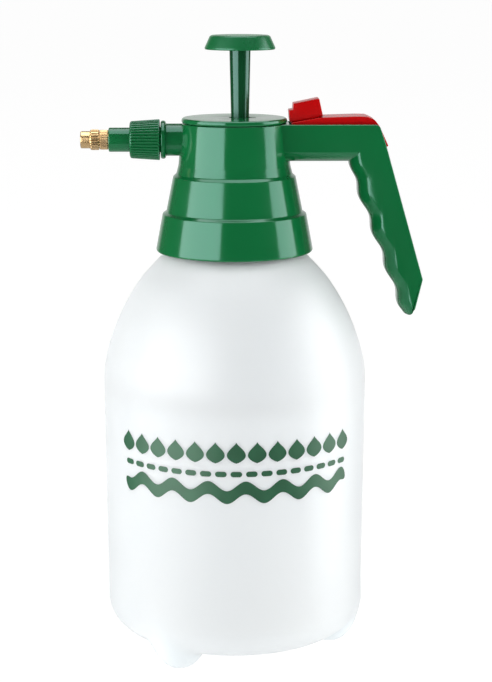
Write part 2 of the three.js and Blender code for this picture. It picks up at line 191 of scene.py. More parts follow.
def ring(name, inner, outer, low, high, fillet, segments, at=(0, 0)):
    """A bored cylinder with rounded edges."""
    corners = [(inner, low), (outer, low), (outer, high), (inner, high)]
    return lathe(name, rounded([(r, h, fillet) for r, h in corners], closed=True), segments, at)


def plate(name, outline, half_width, bevel=0.0, steps=3, middle=0.0):
    """A side outline of (x, z) points given thickness across Y, with rounded rims."""
    mesh_data = bmesh.new()
    face = mesh_data.faces.new([mesh_data.verts.new((x, middle - half_width, z)) for x, z in outline])
    grown = bmesh.ops.extrude_face_region(mesh_data, geom=[face])["geom"]
    for vertex in (g for g in grown if isinstance(g, bmesh.types.BMVert)):
        vertex.co.y += 2 * half_width
    if bevel:
        rims = [e for e in mesh_data.edges if abs(e.verts[0].co.y - e.verts[1].co.y) < 1e-6]
        bmesh.ops.bevel(
            mesh_data, geom=rims, offset=bevel, segments=steps, affect="EDGES", profile=0.5,
            clamp_overlap=True,
        )
    return to_object(name, mesh_data)


def box_between(name, low, high):
    outline = [(low[0], low[2]), (high[0], low[2]), (high[0], high[2]), (low[0], high[2])]
    return plate(name, outline, (high[1] - low[1]) / 2, middle=(high[1] + low[1]) / 2)


def combine(piece, tool, operation):
    """Joins or cuts a piece with a tool, which is used up."""
    step = piece.modifiers.new("step", "BOOLEAN")
    step.operation = operation
    step.solver = "EXACT"
    step.object = tool
    graph = bpy.context.evaluated_depsgraph_get()
    mesh = bpy.data.meshes.new_from_object(piece.evaluated_get(graph))
    piece.modifiers.clear()
    piece.data = mesh
    smooth(mesh)
    bpy.data.objects.remove(tool)
    return piece


def pin_hole(radius, low, high):
    """A tool for a bore across the arm, on the lever's pivot."""
    hole = cylinder("pin_hole", radius, low, high, 40)
    for vertex in hole.data.vertices:
        x, y, z = vertex.co.x - BOTTLE_AXIS * MM, vertex.co.y, vertex.co.z
        vertex.co = (x + (BOTTLE_AXIS + PIN_X) * MM, z, -y + PIN_Z * MM)
    return hole


def merge(name, pieces):
    """Several closed shells as one object."""
    mesh_data = bmesh.new()
    for piece in pieces:
        mesh_data.from_mesh(piece.data)
        bpy.data.objects.remove(piece)
    mesh = bpy.data.meshes.new(name)
    mesh_data.to_mesh(mesh)
    mesh_data.free()
    smooth(mesh)
    return link(name, mesh)


def spline(points, per_span):
    """Catmull-Rom curve through points, with per_span steps from one to the next."""
    knots = [np.array(p, dtype=float) for p in points]
    knots = [2 * knots[0] - knots[1], *knots, 2 * knots[-1] - knots[-2]]
    out = []
    for i in range(1, len(knots) - 2):
        p0, p1, p2, p3 = knots[i - 1 : i + 3]
        for k in range(per_span):
            t = k / per_span
            out.append(
                0.5 * (2 * p1 + (p2 - p0) * t + (2 * p0 - 5 * p1 + 4 * p2 - p3) * t**2
                       + (3 * p1 - p0 - 3 * p2 + p3) * t**3)
            )
    out.append(knots[-2])
    return [tuple(p) for p in out]


def coil(name, radius, start, rise, turns, section, taper):
    """A section of (outward, up) points swept along a helix, thinning out at both ends by taper turns."""
    thinnest = 0.08
    steps = int(turns * 60)
    verts = []
    for j in range(steps + 1):
        t = j / steps
        fade = min(1.0, t * turns / taper, (1 - t) * turns / taper)
        angle = 2 * math.pi * turns * t
        for out, up in section:
            r = radius + out * (thinnest + (1 - thinnest) * fade)
            verts.append((r * math.cos(angle), r * math.sin(angle), start + rise * t + up))
    return from_lists(name, verts, tube_faces(steps + 1, len(section)))


# ---------------------------------------------------------------- materials


def linear(red, green, blue):
    """Screen colour, 0 to 255, as scene colour."""
    def channel(value):
        value /= 255
        return value / 12.92 if value <= 0.04045 else ((value + 0.055) / 1.055) ** 2.4
    return (channel(red), channel(green), channel(blue), 1.0)


class Surface:
    """A Principled material with object-space noise for tone, gloss and fine relief."""

    def __init__(self, name, colour, roughness, metallic=0.0):
        self.material = bpy.data.materials.new(name)
        self.material.use_nodes = True
        self.tree = self.material.node_tree
        self.shader = self.tree.nodes["Principled BSDF"]
        self.shader.inputs["Base Color"].default_value = colour
        self.shader.inputs["Roughness"].default_value = roughness
        self.shader.inputs["Metallic"].default_value = metallic
        self.colour = colour
        self.place = self.tree.nodes.new("ShaderNodeTexCoord").outputs["Object"]

    def noise(self, scale, detail, stretch=None):
        place = self.place
        if stretch:
            mapping = self.tree.nodes.new("ShaderNodeMapping")
            mapping.inputs["Scale"].default_value = stretch
            self.tree.links.new(place, mapping.inputs["Vector"])
            place = mapping.outputs["Vector"]
        node = self.tree.nodes.new("ShaderNodeTexNoise")
        node.inputs["Scale"].default_value = scale
        node.inputs["Detail"].default_value = detail
        self.tree.links.new(place, node.inputs["Vector"])
        return node.outputs["Fac"]

    def spread(self, value, low, high):
        """Spreads the usual range of the noise from low to high."""
        node = self.tree.nodes.new("ShaderNodeMapRange")
        for socket, number in (("From Min", 0.3), ("From Max", 0.7), ("To Min", low), ("To Max", high)):
            node.inputs[socket].default_value = number
        self.tree.links.new(value, node.inputs["Value"])
        return node.outputs["Result"]

    def tone(self, other, scale):
        """Slow drift of the colour towards another one."""
        node = self.tree.nodes.new("ShaderNodeMix")
        node.data_type = "RGBA"
        node.inputs["A"].default_value = self.colour
        node.inputs["B"].default_value = other
        factor = self.spread(self.noise(scale, 4.0), 0.0, 1.0)
        self.tree.links.new(factor, node.inputs["Factor"])
        self.tree.links.new(node.outputs["Result"], self.shader.inputs["Base Color"])
        return self

    def gloss(self, low, high, scale, stretch=None):
        """Roughness that varies over the surface, as handling leaves it."""
        value = self.spread(self.noise(scale, 5.0, stretch), low, high)
        self.tree.links.new(value, self.shader.inputs["Roughness"])
        return self

    def relief(self, scale, height, strength, stretch=None):
        """Fine bump; height is in millimetres."""
        node = self.tree.nodes.new("ShaderNodeBump")
        node.inputs["Strength"].default_value = strength
        node.inputs["Distance"].default_value = height * MM
        self.tree.links.new(self.noise(scale, 2.0, stretch), node.inputs["Height"])
        self.tree.links.new(node.outputs["Normal"], self.shader.inputs["Normal"])
        return self

    def set(self, **values):
        for socket, value in values.items():
            self.shader.inputs[socket.replace("_", " ")].default_value = value
        return self


GREEN = linear(8, 92, 46)
GREEN_LIGHT = linear(11, 99, 51)
RED = linear(186, 3, 5)


def green_moulding(name, colour, light, gloss):
    """Glossy green polypropylene; gloss gives the lowest and highest roughness."""
    return (
        Surface(name, colour, sum(gloss) / 2)
        .tone(light, 22)
        .gloss(*gloss, 60)
        .relief(420, 0.02, 0.35)
        .set(Specular_IOR_Level=0.6, Specular_Tint=(0.6, 1.0, 0.96, 1))
    )


green = green_moulding("green_plastic", GREEN, GREEN_LIGHT, (0.10, 0.17))
knob_green = green_moulding("knob_plastic", GREEN, GREEN_LIGHT, (0.24, 0.32))
# Painted shade: the rod's green is darker than the knob's although both are one moulding, to stand in for
# the shade that falls on the rod under the knob.
rod_painted_shade_green = green_moulding("rod_plastic_painted_shade", linear(5, 62, 30), linear(8, 68, 34), (0.12, 0.2))
red = (
    Surface("red_plastic", RED, 0.24)
    .tone(linear(174, 3, 5), 30)
    .gloss(0.2, 0.28, 90)
    .relief(500, 0.03, 0.4)
    .set(Specular_IOR_Level=0.4, Specular_Tint=(1.0, 0.35, 0.35, 1))
)
natural = (
    Surface("natural_polyethylene", linear(229, 236, 240), 0.4)
    .tone(linear(232, 238, 240), 9)
    .gloss(0.36, 0.46, 35)
    .relief(160, 0.05, 0.35)
    .set(Subsurface_Weight=0.75, Subsurface_Scale=0.006, Subsurface_Radius=(0.98, 0.99, 1.0))
    .set(Coat_Weight=0.08, Coat_Roughness=0.25)
)
brass = (
    Surface("turned_brass", linear(214, 184, 140), 0.24, metallic=1.0)
    .tone(linear(198, 166, 118), 160)
    .gloss(0.2, 0.36, 300, stretch=(9, 1, 1))
    .relief(900, 0.006, 0.2, stretch=(8, 1, 1))
)
rubber = (
    Surface("black_rubber", linear(28, 28, 29), 0.7)
    .tone(linear(40, 40, 41), 120)
    .relief(1500, 0.02, 0.6)
)
white = (
    Surface("white_moulding", linear(226, 228, 224), 0.4)
    .tone(linear(216, 218, 212), 40)
    .gloss(0.34, 0.48, 80)
    .relief(600, 0.02, 0.4)
)
clear = (
    Surface("polyethylene_tube", linear(214, 220, 220), 0.3)
    .tone(linear(226, 230, 228), 60)
    .relief(240, 0.03, 0.4, stretch=(1, 1, 0.2))
    .set(Subsurface_Weight=0.3, Subsurface_Scale=0.004)
)
steel = (
    Surface("stainless_steel", linear(196, 198, 200), 0.28, metallic=1.0)
    .tone(linear(176, 178, 182), 200)
    .gloss(0.2, 0.35, 500)
)
ink = (
    Surface("print_ink", linear(24, 78, 50), 0.45)
    .tone(linear(30, 88, 58), 120)
    .relief(700, 0.01, 0.4)
)

SLOTS = {
    "green_plastic": green,
    "red_plastic": red,
    "bottle_plastic": natural,
    "brass": brass,
    "rubber": rubber,
    "white_plastic": white,
    "clear_tube": clear,
    "steel": steel,
}


def dress(piece, body, slot, *nodes, surface=None):
    """Gives a piece its material, the body that it rides on and the CAD nodes that it stands for."""
    piece.data.materials.clear()
    piece.data.materials.append((surface or SLOTS[slot]).material)
    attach(piece, body)
    if nodes:
        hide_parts(*nodes)


# ---------------------------------------------------------------- bottle

WALL = 1.8
FOOT_CIRCLE = 47.5
FOOT_SIZE = np.array([14.8, 14.8, 21.5])
FOOT_MIDDLE = 20.0
FOOT_BLEND = 3.0
FOOT_ANGLES = [math.radians(-125 + 120 * i) for i in range(3)]
NECK_RADIUS = 26.2
NECK_BORE = 23.6
NECK_TOP = 221
BASE_Z = 9
SIDE_LOW_RADIUS = 63.1
SIDE_TOP_RADIUS = 63.95
SHOULDER_Z = 136
HEEL = 15.0
HEEL_TOP = BASE_Z + HEEL
HEEL_CIRCLE = SIDE_LOW_RADIUS - HEEL
DOME_RADIUS = 34
DOME_RISE = 2.6
RAY_SOURCE = 70.0


def side_radius(z):
    """The side flares a little from the heel to the shoulder."""
    return SIDE_LOW_RADIUS + (SIDE_TOP_RADIUS - SIDE_LOW_RADIUS) * (z - HEEL_TOP) / (SHOULDER_Z - HEEL_TOP)


def lower_distance(p):
    """Signed distance to the bottle's lower body and its feet, blended where they meet."""
    across = np.hypot(p[:, 0], p[:, 1]) - HEEL_CIRCLE
    down = HEEL_TOP - p[:, 2]
    outside = np.hypot(np.maximum(across, 0), np.maximum(down, 0))
    body = outside + np.minimum(np.maximum(across, down), 0) - HEEL
    for angle in FOOT_ANGLES:
        middle = np.array([FOOT_CIRCLE * math.cos(angle), FOOT_CIRCLE * math.sin(angle), FOOT_MIDDLE])
        q = p - middle
        k0 = np.linalg.norm(q / FOOT_SIZE, axis=1)
        k1 = np.linalg.norm(q / FOOT_SIZE**2, axis=1) + 1e-9
        foot = k0 * (k0 - 1) / k1
        h = np.clip(0.5 + 0.5 * (body - foot) / FOOT_BLEND, 0, 1)
        body = body * (1 - h) + foot * h - FOOT_BLEND * h * (1 - h)
    return body


def lower_surface(profile, segments):
    """Rows of points round the lower body, found along rays from a point on the axis."""
    source = np.array([0, 0, RAY_SOURCE])
    rows = []
    for r, z in profile:
        angles = 2 * math.pi * np.arange(segments) / segments
        target = np.stack([r * np.cos(angles), r * np.sin(angles), np.full(segments, z)], axis=1)
        ray = target - source
        ray /= np.linalg.norm(ray, axis=1)[:, None]
        near, far = np.full(segments, 20.0), np.full(segments, 110.0)
        for _ in range(40):
            mid = (near + far) / 2
            inside = lower_distance(source + ray * mid[:, None]) < 0
            near, far = np.where(inside, mid, near), np.where(inside, far, mid)
        points = source + ray * near[:, None]
        points[:, 2] = np.maximum(points[:, 2], 0)
        rows.append(points)
    return rows


def bottle_piece():
    segments = 180
    heel_arc = [
        (HEEL_CIRCLE + HEEL * math.cos(a), HEEL_TOP - HEEL * math.sin(a))
        for a in (math.radians(90 * k / 26) for k in range(27))
    ]
    base = [(HEEL_CIRCLE * (1 - k / 24), BASE_Z) for k in range(1, 24)]
    base.append((0.4, BASE_Z))
    lower = lower_surface([(63.2, 40), (63.15, 33), (63.1, 28)] + heel_arc + base, segments)
    for row in lower:
        r = np.hypot(row[:, 0], row[:, 1])
        rise = np.clip(1 - r / DOME_RADIUS, 0, 1)
        row[:, 2] += DOME_RISE * rise * rise * (3 - 2 * rise)
    lower.reverse()

    shoulder = spline([
        (63.9, 132), (63.75, 137.6), (63.2, 142.6), (62.1, 147.7), (60.7, 152.7), (57, 162.7), (52.2, 172.6),
        (46, 182.5), (40, 189.6), (35, 194.6), (31, 197.4), (27.6, 199),
    ], 6)
    side = [(side_radius(z), z) for z in np.linspace(46, 128, 12)]
    neck = rounded([
        (NECK_RADIUS, 199.8, 0.6), (NECK_RADIUS, NECK_TOP, 0.5), (NECK_BORE, NECK_TOP, 0.5),
        (NECK_BORE, 199.5, 2.0), (26.6, 197.4),
    ])
    inner_shoulder = [(r - WALL * 0.75, z - WALL * 0.75) for r, z in reversed(shoulder[:-4])]
    inner_side = [(r - WALL, z) for r, z in reversed(side)]
    inside = SIDE_LOW_RADIUS - WALL
    inner_base = rounded([(inside, 40), (inside, 11.5, 14), (0, 13.5)], steps=12)
    upper = side + shoulder + neck + inner_shoulder + inner_side + inner_base

    verts = []
    for row in lower:
        verts += [tuple(p) for p in row]
    for r, z in upper[:-1]:
        for i in range(segments):
            angle = 2 * math.pi * i / segments
            verts.append((r * math.cos(angle), r * math.sin(angle), z))
    body = from_lists("bottle_body", verts, tube_faces(len(verts) // segments, segments))
    section = [(0, -1.3), (1.3, -0.5), (1.3, 0.5), (0, 1.3)]
    thread = coil("thread", NECK_RADIUS - 0.2, 206.6, 9, 1.5, section, taper=0.12)
    return merge("bottle_body", [body, thread])


dress(bottle_piece(), "bottle", "bottle_plastic", "bottle")


# ---------------------------------------------------------------- printed graphic

PRINT_LIFT = 0.02
PRINT_THICKNESS = 0.05
PRINT_HALF = 61
DROPS = 13
DROP_LOW = 107.8
DROP_HEIGHT = 10
DASHES = 17
DASH_Z = 102.6
DASH_HALF = 1.3
DASH_GAP = 1.8
RIBBON_Z = 93.8
RIBBON_HALF = 3.1
RIBBON_SWING = 2.3
RIBBON_PITCH = 17.6


def wrapped(s, z, lift):
    """A place on the bottle's side from a distance round it, measured from the front, and a height."""
    r = side_radius(z) + lift
    angle = s / SIDE_TOP_RADIUS - math.pi / 2
    return (r * math.cos(angle), r * math.sin(angle), z)


def patch(grid):
    """One thin closed tile of ink. The grid holds columns of (distance round, height) points."""
    columns, rows = len(grid), len(grid[0])
    verts = []
    for lift in (PRINT_LIFT, PRINT_LIFT + PRINT_THICKNESS):
        verts += [wrapped(s, z, lift) for column in grid for s, z in column]
    top = columns * rows
    faces = []
    for i in range(columns - 1):
        for j in range(rows - 1):
            a, b = i * rows + j, (i + 1) * rows + j
            faces.append((a, a + 1, b + 1, b))
            faces.append((top + a, top + b, top + b + 1, top + a + 1))
    rim = [i * rows for i in range(columns)] + [(columns - 1) * rows + j for j in range(1, rows)]
    rim += [i * rows + rows - 1 for i in range(columns - 2, -1, -1)] + list(range(rows - 2, 0, -1))
    for a, b in zip(rim, rim[1:] + rim[:1]):
        faces.append((a, b, top + b, top + a))
    return from_lists("ink", verts, faces, 60)


def stripe(s0, s1, middle, half, columns):
    """A stripe with half-round ends; middle gives its height along the way."""
    grid = []
    for i in range(columns + 1):
        share = (1 - math.cos(math.pi * i / columns)) / 2
        s = s0 + (s1 - s0) * share
        inset = max(s0 + half - s, s - (s1 - half), 0)
        reach = math.sqrt(max(half * half - inset * inset, 1e-4))
        grid.append([(s, middle(s) - reach), (s, middle(s)), (s, middle(s) + reach)])
    return patch(grid)


def drop(s, low, size):
    """A water drop, point up."""
    columns = 8
    grid = []
    for i in range(columns + 1):
        u = 2 * i / columns - 1
        column = []
        for j in range(21):
            t = j / 20
            width = 0.6 * size * math.sin(math.pi * t) ** 0.8 * (1 - t) ** 0.55 + 0.01
            column.append((s + u * width, low + size * t))
        grid.append(column)
    return patch(grid)


def ribbon_height(s):
    return RIBBON_Z + RIBBON_SWING * math.sin(2 * math.pi * s / RIBBON_PITCH)


def print_piece():
    """A band of drops, dashes and a wave, in the place of the photograph's print."""
    marks = []
    for i in range(DROPS):
        s = PRINT_HALF * (2 * i / (DROPS - 1) - 1) * 0.955
        marks.append(drop(s, DROP_LOW, DROP_HEIGHT))
    pitch = 2 * PRINT_HALF / DASHES
    for i in range(DASHES):
        start = pitch * i - PRINT_HALF + DASH_GAP / 2
        marks.append(stripe(start, start + pitch - DASH_GAP, lambda s: DASH_Z, DASH_HALF, 16))
    marks.append(stripe(-PRINT_HALF, PRINT_HALF, ribbon_height, RIBBON_HALF, 240))
    return merge("bottle_graphic", marks)


dress(print_piece(), "bottle", "green_plastic", surface=ink)


# ---------------------------------------------------------------- head

SKIRT_LOW = 197
HEAD_TOP = 258.3
CHAMBER = 23
WEB_LOW = 223.9
WEB_TOP = 226.4
BARB = 1.1
ARM_HALF = 12.3
ARM_LOW = 240.4
FINGER_PITCH = 17.5
FINGER_WAVE = 0.95
GRIP_END = 170
GRIP_BACK = (90.3, 184.2)


def skirt_profile():
    """Half section of the skirt, closed above by the web that holds the pump."""
    return rounded([
        (0, WEB_LOW), (28.8, WEB_LOW, 0.6), (28.8, 203, 0.5), (30.8, 203, 0.5), (31.2, 212.4, 0.8),
        (32.4, 212.4, 0.8), (35.3, SKIRT_LOW, 0.5), (38.0, SKIRT_LOW, 1.7), (34.6, 215.1, 0.8),
        (32.8, 216.2, 0.9), (29.4, 233.0, 0.8), (27.9, 234.3, 1.2), (26.8, 238.5, 6), (26.0, 248, 4),
        (25.1, HEAD_TOP, 0.5), (CHAMBER, HEAD_TOP, 0.3), (CHAMBER, 240, 3), (25.2, WEB_TOP, 1.0),
        (0, WEB_TOP),
    ], steps=6)


def cut_window(piece):
    """Opens the way from the head's chamber into the channel of the arm."""
    return combine(piece, box_between("window", (15, -8.5, 244.4), (27, 8.5, 254.4)), "DIFFERENCE")


def head_skirt():
    shell = lathe("skirt", skirt_profile(), 192)
    boss = rounded([(0, WEB_TOP - 1), (15.8, WEB_TOP - 1), (15.8, 238.6, 0.3), (0, 238.6)])
    shell = combine(shell, lathe("boss", boss, 96, at=PUMP), "UNION")
    shell = combine(shell, cylinder("socket", 14.4, WEB_LOW - 2, 240, at=PUMP), "DIFFERENCE")
    shell = cut_window(shell)
    section = [(0, -1.1), (-0.9, -0.4), (-0.9, 0.4), (0, 1.1)]
    return [shell, coil("inner_thread", 28.9, 205.2, 7.5, 1.25, section, taper=0.1)]


def feed_fittings():
    """Barbs for the two hoses and the stub that holds the suction tube."""
    feed = rounded([
        (0.6, 214, 0.2), (1.9, 214, 0.3), (1.9, 224.4), (4.2, 224.4), (4.2, 229, 0.5), (BARB, 229),
        (BARB, 235, 0.3), (0.6, 235, 0.2),
    ], closed=True)
    outlet = rounded([(0.6, 19, 0.2), (BARB, 19, 0.3), (BARB, 24.6), (0.6, 24.6)], closed=True)
    return [lathe("feed", feed, 40, at=DIP), lathe("outlet", outlet, 40, forward=True)]


def nozzle_neck():
    body = rounded([
        (2.4, 24.4), (7.7, 24.4), (7.7, 32.6, 0.5), (8.6, 32.8, 0.5), (9.1, 33.4, 0.6), (9.1, 34.5, 0.6),
        (8.7, 35.1, 0.5), (6.0, 35.1, 0.3), (6.0, 45, 0.4), (2.4, 45, 0.3),
    ], closed=True, steps=5)
    return lathe("neck", body, 96, forward=True)


def grip_inner(z):
    """Inner line of the grip with a wave for each finger."""
    wave = FINGER_WAVE * math.cos(2 * math.pi * (z - 223) / FINGER_PITCH)
    fade = min(1.0, max(0.0, (ARM_LOW - z) / 8))
    return 54.5 + 0.376 * (ARM_LOW - z) - fade * (0.4 + wave)


def arm_outline(inward, trim):
    """Side outline of the arm and grip. inward moves the inner edge back, trim the outer edge."""
    outer = rounded([
        (20, HEAD_TOP - trim), (68.4 - trim * 0.4, HEAD_TOP - trim, 2.8), (71.7 - trim, 248.6, 30),
        (GRIP_BACK[0] - trim, GRIP_BACK[1], 1.6), (86.9 - trim, 169.8 + 0.3 * trim, 2.4),
        (84.2 + 0.1 * inward, 165.8 + trim + 0.25 * inward, 2.2),
        (82.4 + 0.75 * inward, 166.4 + trim + 0.3 * inward, 1.6),
        (grip_inner(GRIP_END) + inward, GRIP_END + 0.2 * inward),
    ], steps=7)
    outer = outer[:-1]
    inner = []
    steps = 84
    for k in range(steps + 1):
        z = GRIP_END + (ARM_LOW - 1.6 - GRIP_END) * k / steps
        inner.append((grip_inner(z) + inward, z + inward * 0.36))
    corner = (54.6 + inward * 0.92, ARM_LOW + inward)
    return outer + inner + [corner, (20, ARM_LOW + inward)]


def arm_piece():
    """Arm and grip: flat sides, small rims outside and a wide rounded inner edge."""
    rim = 0.6
    flat = 3.0
    depth = 5.0
    share_at_side = 0.86
    round_width = (ARM_HALF - flat) / share_at_side

    def section(y):
        """How far the inner edge and the outer rim stand back at a distance from the middle plane."""
        share = max(0.0, y - flat) / round_width
        full = 1 - math.sqrt(1 - share_at_side * share_at_side)
        inward = depth * (1 - math.sqrt(1 - share * share)) / full
        close = max(0.0, (y - (ARM_HALF - rim)) / rim)
        return inward, rim * (1 - math.sqrt(max(0.0, 1 - close * close)))

    ys = [flat + (ARM_HALF - rim - flat) * k / 9 for k in range(10)]
    ys += [ARM_HALF - rim + rim * math.sin(math.radians(90 * k / 4)) for k in range(1, 5)]
    levels = [(y, *section(y)) for y in ys]
    loops = [(-y, i, t) for y, i, t in reversed(levels)] + levels
    verts = []
    for y, inward, trim in loops:
        verts += [(x, y, z) for x, z in arm_outline(inward, trim)]
    arm = from_lists("arm", verts, tube_faces(len(loops), len(verts) // len(loops)))
    channel = plate(
        "channel",
        rounded([(26, 244.4, 1), (26, 275), (100, 275), (100, 240.5), (66.6, 240.5, 1), (64.4, 244.4, 1)],
                closed=True, steps=3),
        9.5,
    )
    arm = combine(arm, channel, "DIFFERENCE")
    arm = combine(arm, cylinder("inside", 24, 220, 270), "DIFFERENCE")
    arm = cut_window(arm)
    return combine(arm, pin_hole(1.5, -11.7, 13), "DIFFERENCE")


def head_piece():
    return merge("head_moulding", [*head_skirt(), *feed_fittings(), nozzle_neck(), arm_piece()])


dress(head_piece(), "head", "green_plastic", "head_shell")


def cap_piece():
    """Disc on the bottle's axis whose shaft, inside, stands on the pump's axis."""
    shaft, skirt = 9, 21
    segments = 144
    section = rounded([
        (5.3, 260.9, 0.25), (5.3, 257.4, 0.2), (7.2, 257.4), (7.2, 245.1, 0.2), (shaft, 245.1, 0.3),
        (shaft, 258.6, 0.4), (skirt, 258.6, 0.3), (skirt, 254.8, 0.2), (22.5, 254.8, 0.3),
        (22.5, 258.6, 0.3), (24.9, 258.6, 0.3), (25.3, 259.3, 0.4), (25.0, 260.4, 0.5), (24.4, 260.9, 0.5),
    ], closed=True, steps=4)
    points = []
    for r, h in section:
        share = max(0.0, min(1.0, (r - shaft) / (skirt - shaft)))
        shift = PUMP_X * (1 - share)
        for i in range(segments):
            angle = 2 * math.pi * i / segments
            points.append((shift + r * math.cos(angle), r * math.sin(angle), h))
    cap = from_lists("cap", points, tube_faces(len(section), segments, closed=True))
    slot = box_between("slot", (PUMP_X, -1.4, 256), (PUMP_X + 7.4, 1.4, 263))
    return combine(cap, slot, "DIFFERENCE")


dress(cap_piece(), "head", "green_plastic", "pump_cap")


# ---------------------------------------------------------------- pump


def knob_piece():
    profile = rounded([
        (0, 292.5), (4.6, 292.5, 0.3), (4.6, 293.9), (11.2, 294.6, 1.5), (14.6, 294.3, 0.6),
        (15.3, 292.95, 0.5), (16.7, 293.0, 0.45), (16.75, 293.9, 0.5), (14.3, 299.2, 0.8),
        (13.3, 299.7, 0.6), (9, 299.45, 2), (0, 299.4),
    ], steps=5)
    return lathe("pump_knob", profile, 128, at=PUMP)


def rod_piece():
    profile = rounded([
        (0, 210.4), (3, 210.4, 0.3), (3, 217.3), (4.3, 217.3, 0.3), (4.3, 261), (5.05, 293.6),
        (5.05, 294.4, 0.2), (0, 294.4),
    ], steps=5)
    return lathe("pump_rod", profile, 96, at=PUMP)


def barrel_piece():
    profile = rounded([
        (2.1, 172, 0.2), (12.6, 172, 1.0), (14, 173.2, 0.8), (14, 240.6, 0.3), (15.6, 240.6, 0.3),
        (15.6, 243, 0.3), (12.5, 243, 0.3), (12.5, 174, 0.8), (2.1, 174, 0.2),
    ], closed=True, steps=4)
    barrel = lathe("pump_barrel_tube", profile, 96, at=PUMP)
    for i in range(4):
        angle = math.pi / 2 * (i + 0.5)
        spot = (PUMP_X + 4.4 * math.cos(angle), 4.4 * math.sin(angle))
        barrel = combine(barrel, cylinder("air_hole", 0.9, 170, 176, 20, at=spot), "DIFFERENCE")
    return barrel


def piston_piece():
    low = 208
    profile = rounded([
        (0, low), (11.6, low, 0.4), (11.6, low + 3, 0.2), (9.4, low + 3), (9.4, low + 6.4),
        (11.6, low + 6.4, 0.2), (11.6, low + 9, 0.4), (3.3, low + 9, 0.2), (3.3, low + 2), (0, low + 2),
    ])
    return lathe("piston_body", profile, 72, at=PUMP)


def piston_ring_piece():
    low = 211.3
    profile = rounded([
        (9.7, low, 0.3), (12, low, 0.4), (12.1, low + 0.8, 0.4), (11.7, low + 2.8, 0.5),
        (9.7, low + 2.8, 0.3),
    ], closed=True)
    return lathe("piston_cup_ring", profile, 72, at=PUMP)


def check_valve_piece():
    profile = rounded([
        (0, 170.3), (4.6, 170.5, 1.5), (6.6, 171.3, 0.3), (6.5, 171.75, 0.2), (1.6, 171.7, 0.3),
        (1.6, 174.4, 0.2), (2.5, 174.5, 0.4), (1.5, 175.9, 0.6), (0, 176),
    ])
    return lathe("umbrella_valve", profile, 48, at=PUMP)


dress(knob_piece(), "pump_handle", "green_plastic", "pump_handle", surface=knob_green)
dress(rod_piece(), "pump_handle", "green_plastic", surface=rod_painted_shade_green)
dress(barrel_piece(), "head", "white_plastic", "pump_barrel")
dress(piston_piece(), "piston", "white_plastic", "piston")
dress(piston_ring_piece(), "piston", "rubber", "piston_ring")
dress(check_valve_piece(), "head", "rubber", "check_valve")


dress(ring("mouth_seal", 22.8, 26.2, 221.3, 223.6, 0.5, 96), "seal", "rubber", "bottle_seal")


# ---------------------------------------------------------------- dip tube and hoses


def strainer_piece():
    profile = rounded([
        (0, 14.7), (3.7, 14.7, 0.3), (4.0, 15.1), (4.0, 24, 0.2), (3.45, 24, 0.1), (3.45, 16), (0, 16),
    ])
    cup = lathe("strainer", profile, 48, at=DIP)
    for i in range(8):
        angle = math.pi * i / 4
        x, y = DIP_X + 3.7 * math.cos(angle), DIP_Y + 3.7 * math.sin(angle)
        slot = box_between("slot", (x - 0.45, y - 0.45, 17), (x + 0.45, y + 0.45, 22.2))
        cup = combine(cup, slot, "DIFFERENCE")
    return cup


dress(ring("suction_tube", 2.25, 3.1, 16.4, 223.6, 0.2, 40, at=DIP), "head", "clear_tube", "dip_tube")
dress(strainer_piece(), "head", "white_plastic", "dip_strainer")


# ---------------------------------------------------------------- lever and lock

LEVER_HALF = 9.0
LEVER_WALL = 3
SLOPE_START = (26.9, 259.0)
SLOPE_END = (41.0, 261.5)
SLOPE = (SLOPE_END[1] - SLOPE_START[1]) / (SLOPE_END[0] - SLOPE_START[0])


def slope_z(x):
    """Height of the lever's sloping front, on which the lock slides."""
    return SLOPE_START[1] + SLOPE * (x - SLOPE_START[0])


def lever_piece():
    outline = rounded([
        SLOPE_START + (0.5,), SLOPE_END + (12,), (58, 262, 14), (62.9, 261.9, 3), (66.4, 260.3, 3.5),
        (68.6, 257.5, 6), (73.1, 247.9, 0.5), (71.4, 247.5, 0.5), (66.6, 255.2, 1), (62, 255, 1),
        (34, 254.6, 1), (33.2, 253.6, 1.2), (30.5, 252.8, 2), (27.8, 253.8, 1.5), (26.9, 255.4, 1),
    ], closed=True, steps=6)
    lever = plate("lever", outline, LEVER_HALF, bevel=0.55, steps=4)
    inside = plate("inside", rounded([
        (28.3, 245), (28.3, 257.2, 0.8), (41, 259.5, 8), (58, 260, 8), (61.8, 259.6, 2), (64, 258.5, 2),
        (65.4, 256.8, 1), (65.4, 245),
    ], closed=True), LEVER_HALF - LEVER_WALL)
    lever = combine(lever, inside, "DIFFERENCE")
    front = box_between("front", (26, LEVER_WALL - LEVER_HALF, 250), (29, LEVER_HALF - LEVER_WALL, 256))
    lever = combine(lever, front, "DIFFERENCE")
    lever = combine(lever, box_between("slot", (33.6, -2.6, 256), (41.3, 2.6, 264)), "DIFFERENCE")
    return combine(lever, pin_hole(1.55, -10, 10), "DIFFERENCE")


def lock_piece():
    low = 0.2
    block = plate("block", rounded([
        (26.2, slope_z(26.2) + low, 0.3), (25.7, 264.7, 0.4), (27.7, 264.9, 0.3), (27.9, 267.8, 0.4),
        (40.1, 270.3, 0.5), (42, slope_z(42) + low, 0.3),
    ], closed=True), 6, bevel=0.4, steps=3)
    stem_low = [(x, slope_z(x) - 3) for x in (34.2, 37.2)]
    stem = plate("stem", [*stem_low, (37.2, 263), (34.2, 263)], 2.2)
    foot_low = [(x, slope_z(x) - 3.3) for x in (33, 38.4)]
    foot_top = [(x, slope_z(x) - 2.4) for x in (38.4, 33)]
    foot = plate("foot", foot_low + foot_top, 3.6)
    return merge("lock_block", [block, stem, foot])


dress(lever_piece(), "trigger", "red_plastic", "trigger_lever")
dress(lock_piece(), "lock", "red_plastic", "lock_slider")


# ---------------------------------------------------------------- nozzle


